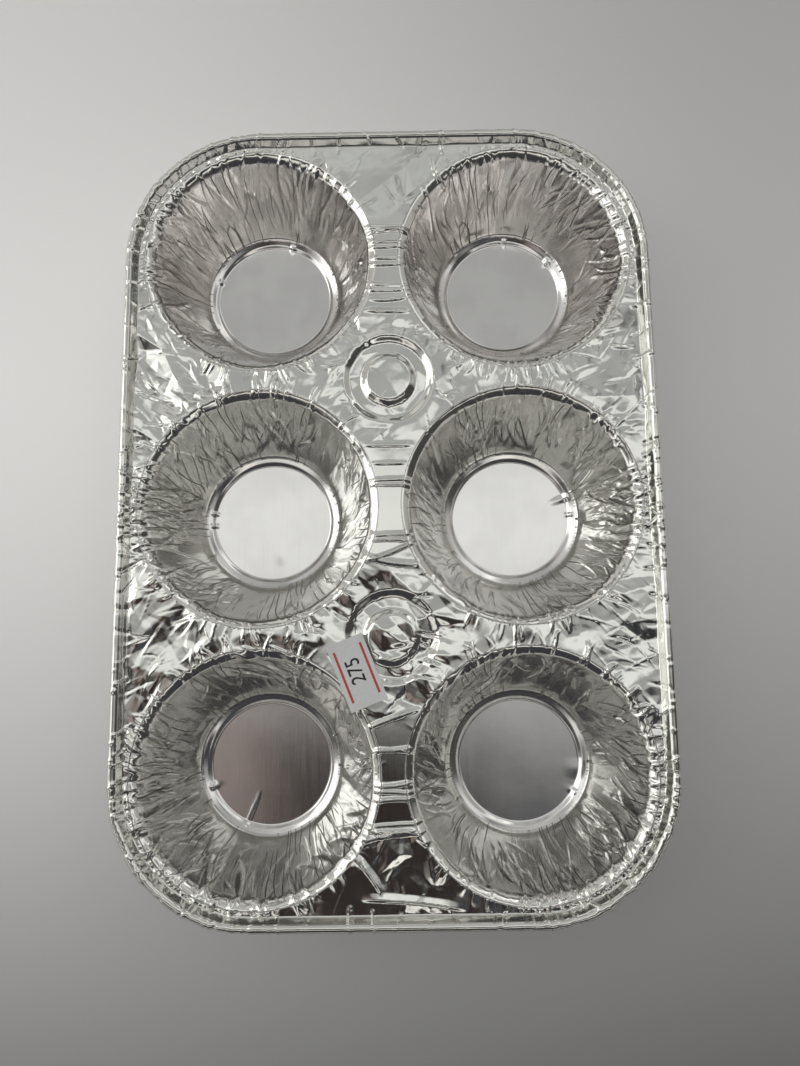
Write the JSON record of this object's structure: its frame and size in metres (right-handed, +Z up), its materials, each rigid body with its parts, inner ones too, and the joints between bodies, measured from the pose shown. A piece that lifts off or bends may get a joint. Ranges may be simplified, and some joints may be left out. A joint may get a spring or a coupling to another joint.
{
  "type": "muffin tray",
  "caption": "Pressed foil muffin tray: tapered round cups with sunk floor panels in a flat deck, pressed rosettes, a stepped rolled edge and a small paper price label.",
  "frame": {"origin": "under the middle of the tray, on the surface that the cup floors rest on", "axes": "+Y along the length from the front row of cups to the back row, +X across the width, +Z up"},
  "size_m": [0.1722, 0.2544, 0.035],
  "materials": {
    "foil_deck": "bright rolled foil, creased",
    "foil_wall": "bright rolled foil, finely pleated",
    "foil_floor": "satin rolled foil with a fine lengthwise grain",
    "foil_edge": "bright rolled foil, crimped at the corners",
    "label_paper": "matt printed label"
  },
  "bodies": {
    "root": {"deck": "foil_deck", "cup_wall_front_left": "foil_wall", "cup_wall_front_right": "foil_wall", "cup_wall_middle_left": "foil_wall", "cup_wall_middle_right": "foil_wall", "cup_wall_back_left": "foil_wall", "cup_wall_back_right": "foil_wall", "cup_floor_front_left": "foil_floor", "cup_floor_front_right": "foil_floor", "cup_floor_middle_left": "foil_floor", "cup_floor_middle_right": "foil_floor", "cup_floor_back_left": "foil_floor", "cup_floor_back_right": "foil_floor", "rosette_back": "foil_deck", "rosette_front": "foil_deck", "saddle_panel_front": "foil_deck", "saddle_panel_middle": "foil_deck", "saddle_panel_back": "foil_deck", "rim_step": "foil_edge", "rolled_rim": "foil_edge", "price_label": "label_paper"}
  },
  "joints": []
}
